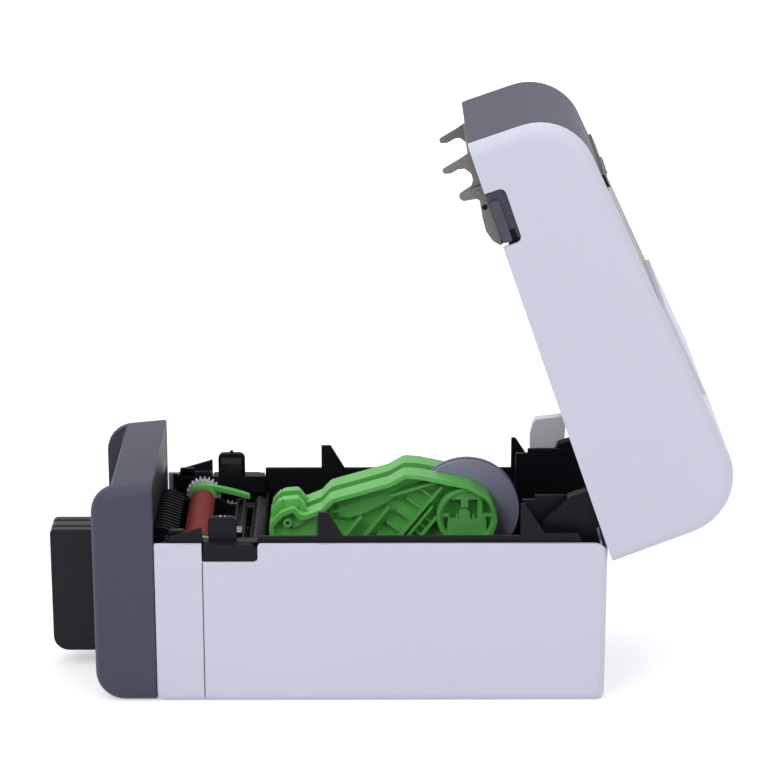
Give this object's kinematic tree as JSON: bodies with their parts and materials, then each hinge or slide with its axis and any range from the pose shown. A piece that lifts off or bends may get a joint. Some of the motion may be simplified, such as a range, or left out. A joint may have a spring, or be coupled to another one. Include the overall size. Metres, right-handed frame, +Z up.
{
  "type": "label printer",
  "caption": "Desktop thermal label printer with its hinged cover standing open over a roll bay, platen and latch",
  "frame": {"origin": "middle of the printer's footprint, on the surface that it stands on", "axes": "+Z up; the front with the label slot faces -Y; +X is the right side seen from the rear, which the picture shows"},
  "size_m": [0.11, 0.3496, 0.302],
  "materials": {
    "white_housing": "light grey-white moulding, fine texture",
    "grey_bezel": "dark grey textured moulding",
    "black_frame": "black textured moulding",
    "black_gloss": "black, smooth",
    "window_smoke": "smoked clear plastic",
    "green_plastic": "green glass-filled nylon, slightly glossy",
    "grey_plastic": "mid grey moulding",
    "platen_rubber": "brown-red rubber",
    "foot_rubber": "black rubber",
    "steel": "plated steel",
    "dark_steel": "blackened steel",
    "bush_plastic": "natural bearing plastic",
    "gear_plastic": "light grey acetal",
    "brass": "turned brass",
    "board_green": "solder mask",
    "lens": "tinted light guide"
  },
  "bodies": {
    "base": {"lower_casing": "white_housing", "front_casing": "white_housing", "bezel": "grey_bezel", "bezel_liner": "black_frame", "front_module": "black_gloss", "inner_frame": "black_frame", "roll_bay": "black_frame", "hinge_pockets": "black_frame", "latch_blocks": "black_frame", "latch_posts": "black_frame", "guide_comb": "black_frame", "platen_cradle": "black_frame", "platen_bushes": "bush_plastic", "sensor_bar": "black_frame", "media_ramp": "black_frame", "drive_plate": "steel", "idler_axle": "steel", "drive_motor": "steel", "main_board": "board_green", "power_inlet": "black_gloss", "usb_port": "steel", "network_port": "steel", "switch_frame": "black_gloss", "hinge_pins": "steel", "rack_guide": "black_frame", "rubber_feet": "foot_rubber", "screws": "steel", "cable_guide": "white_housing"},
    "cover": {"cover_shell": "white_housing", "cover_nose": "grey_bezel", "control_panel": "black_gloss", "cover_window": "window_smoke", "status_lens": "lens", "cover_liner": "black_frame", "hinge_arms": "black_frame", "release_recesses": "grey_plastic", "head_bracket": "steel", "print_head": "black_gloss"},
    "latch": {"latch_hooks": "dark_steel", "latch_shaft": "steel", "release_tabs": "grey_bezel"},
    "button_a": {"button_1": "grey_plastic"},
    "button_b": {"button_2": "grey_plastic"},
    "button_c": {"button_3": "grey_plastic"},
    "platen": {"platen_roller": "platen_rubber", "platen_shaft": "steel", "platen_gear": "gear_plastic"},
    "idler": {"idler_gear": "gear_plastic"},
    "pinion": {"motor_pinion": "brass"},
    "lever_near": {"platen_lever_near": "green_plastic"},
    "lever_far": {"platen_lever_far": "green_plastic"},
    "arm_near": {"roll_arm_near": "green_plastic"},
    "arm_far": {"roll_arm_far": "green_plastic"},
    "disc_near": {"flange_disc_near": "grey_plastic"},
    "disc_far": {"flange_disc_far": "grey_plastic"},
    "arm_pinion": {"rack_pinion": "gear_plastic"},
    "sensor": {"media_sensor": "grey_plastic"},
    "rocker": {"power_rocker": "black_gloss"}
  },
  "joints": [
    {"name": "cover_hinge", "type": "hinge", "parent": "base", "child": "cover", "pos_m": [0, 0.1236, 0.079], "axis": [1, 0, 0], "range_deg": [0, 70.7]},
    {"name": "latch_pivot", "type": "hinge", "parent": "cover", "child": "latch", "pos_m": [0, 0.06338, 0.26367], "axis": [1, 0, 0], "range_deg": [0, 5], "stiffness_Nm_per_rad": 0.4, "springref_deg": -5.73},
    {"name": "platen_spin", "type": "hinge", "parent": "base", "child": "platen", "pos_m": [0, -0.0792, 0.078], "axis": [1, 0, 0], "continuous": true},
    {"name": "idler_spin", "type": "hinge", "parent": "base", "child": "idler", "pos_m": [-0.043, -0.0672, 0.06123], "axis": [1, 0, 0], "continuous": true},
    {"name": "pinion_spin", "type": "hinge", "parent": "base", "child": "pinion", "pos_m": [-0.043, -0.0632, 0.04522], "axis": [1, 0, 0], "continuous": true},
    {"name": "lever_near_turn", "type": "hinge", "parent": "base", "child": "lever_near", "pos_m": [0.0388, -0.0792, 0.078], "axis": [1, 0, 0], "range_deg": [0, 75]},
    {"name": "lever_far_turn", "type": "hinge", "parent": "base", "child": "lever_far", "pos_m": [-0.0388, -0.0792, 0.078], "axis": [1, 0, 0], "range_deg": [0, 75]},
    {"name": "arm_near_slide", "type": "slide", "parent": "base", "child": "arm_near", "axis": [1, 0, 0], "range_m": [0, 0.0265], "stiffness_N_per_m": 60, "springref_m": -0.02},
    {"name": "arm_far_slide", "type": "slide", "parent": "base", "child": "arm_far", "axis": [1, 0, 0], "range_m": [-0.0265, 0]},
    {"name": "disc_near_spin", "type": "hinge", "parent": "arm_near", "child": "disc_near", "pos_m": [0.002, 0.0605, 0.0855], "axis": [1, 0, 0], "continuous": true},
    {"name": "disc_far_spin", "type": "hinge", "parent": "arm_far", "child": "disc_far", "pos_m": [-0.002, 0.0605, 0.0855], "axis": [1, 0, 0], "continuous": true},
    {"name": "arm_pinion_spin", "type": "hinge", "parent": "base", "child": "arm_pinion", "pos_m": [0, 0.02, 0.014], "axis": [0, 0, 1], "range_deg": [-254, 0]},
    {"name": "sensor_slide", "type": "slide", "parent": "base", "child": "sensor", "axis": [1, 0, 0], "range_m": [-0.0475, 0.0045]},
    {"name": "rocker_tilt", "type": "hinge", "parent": "base", "child": "rocker", "pos_m": [0.034, 0.1255, 0.0199], "axis": [0, 0, 1], "range_deg": [0, 12]},
    {"name": "button_a_press", "type": "slide", "parent": "cover", "child": "button_a", "axis": [0, -0.9047, -0.4261], "range_m": [0, 0.0008], "stiffness_N_per_m": 500, "springref_m": -0.0006},
    {"name": "button_b_press", "type": "slide", "parent": "cover", "child": "button_b", "axis": [0, -0.9047, -0.4261], "range_m": [0, 0.0008], "stiffness_N_per_m": 500, "springref_m": -0.0006},
    {"name": "button_c_press", "type": "slide", "parent": "cover", "child": "button_c", "axis": [0, -0.9047, -0.4261], "range_m": [0, 0.0008], "stiffness_N_per_m": 500, "springref_m": -0.0006}
  ],
  "couplings": [
    {"joint": "idler_spin", "follows": "platen_spin", "ratio": -0.71875},
    {"joint": "pinion_spin", "follows": "platen_spin", "ratio": 1.9167},
    {"joint": "arm_far_slide", "follows": "arm_near_slide", "ratio": -1},
    {"joint": "arm_pinion_spin", "follows": "arm_near_slide", "rad_per_m": -166.67}
  ]
}
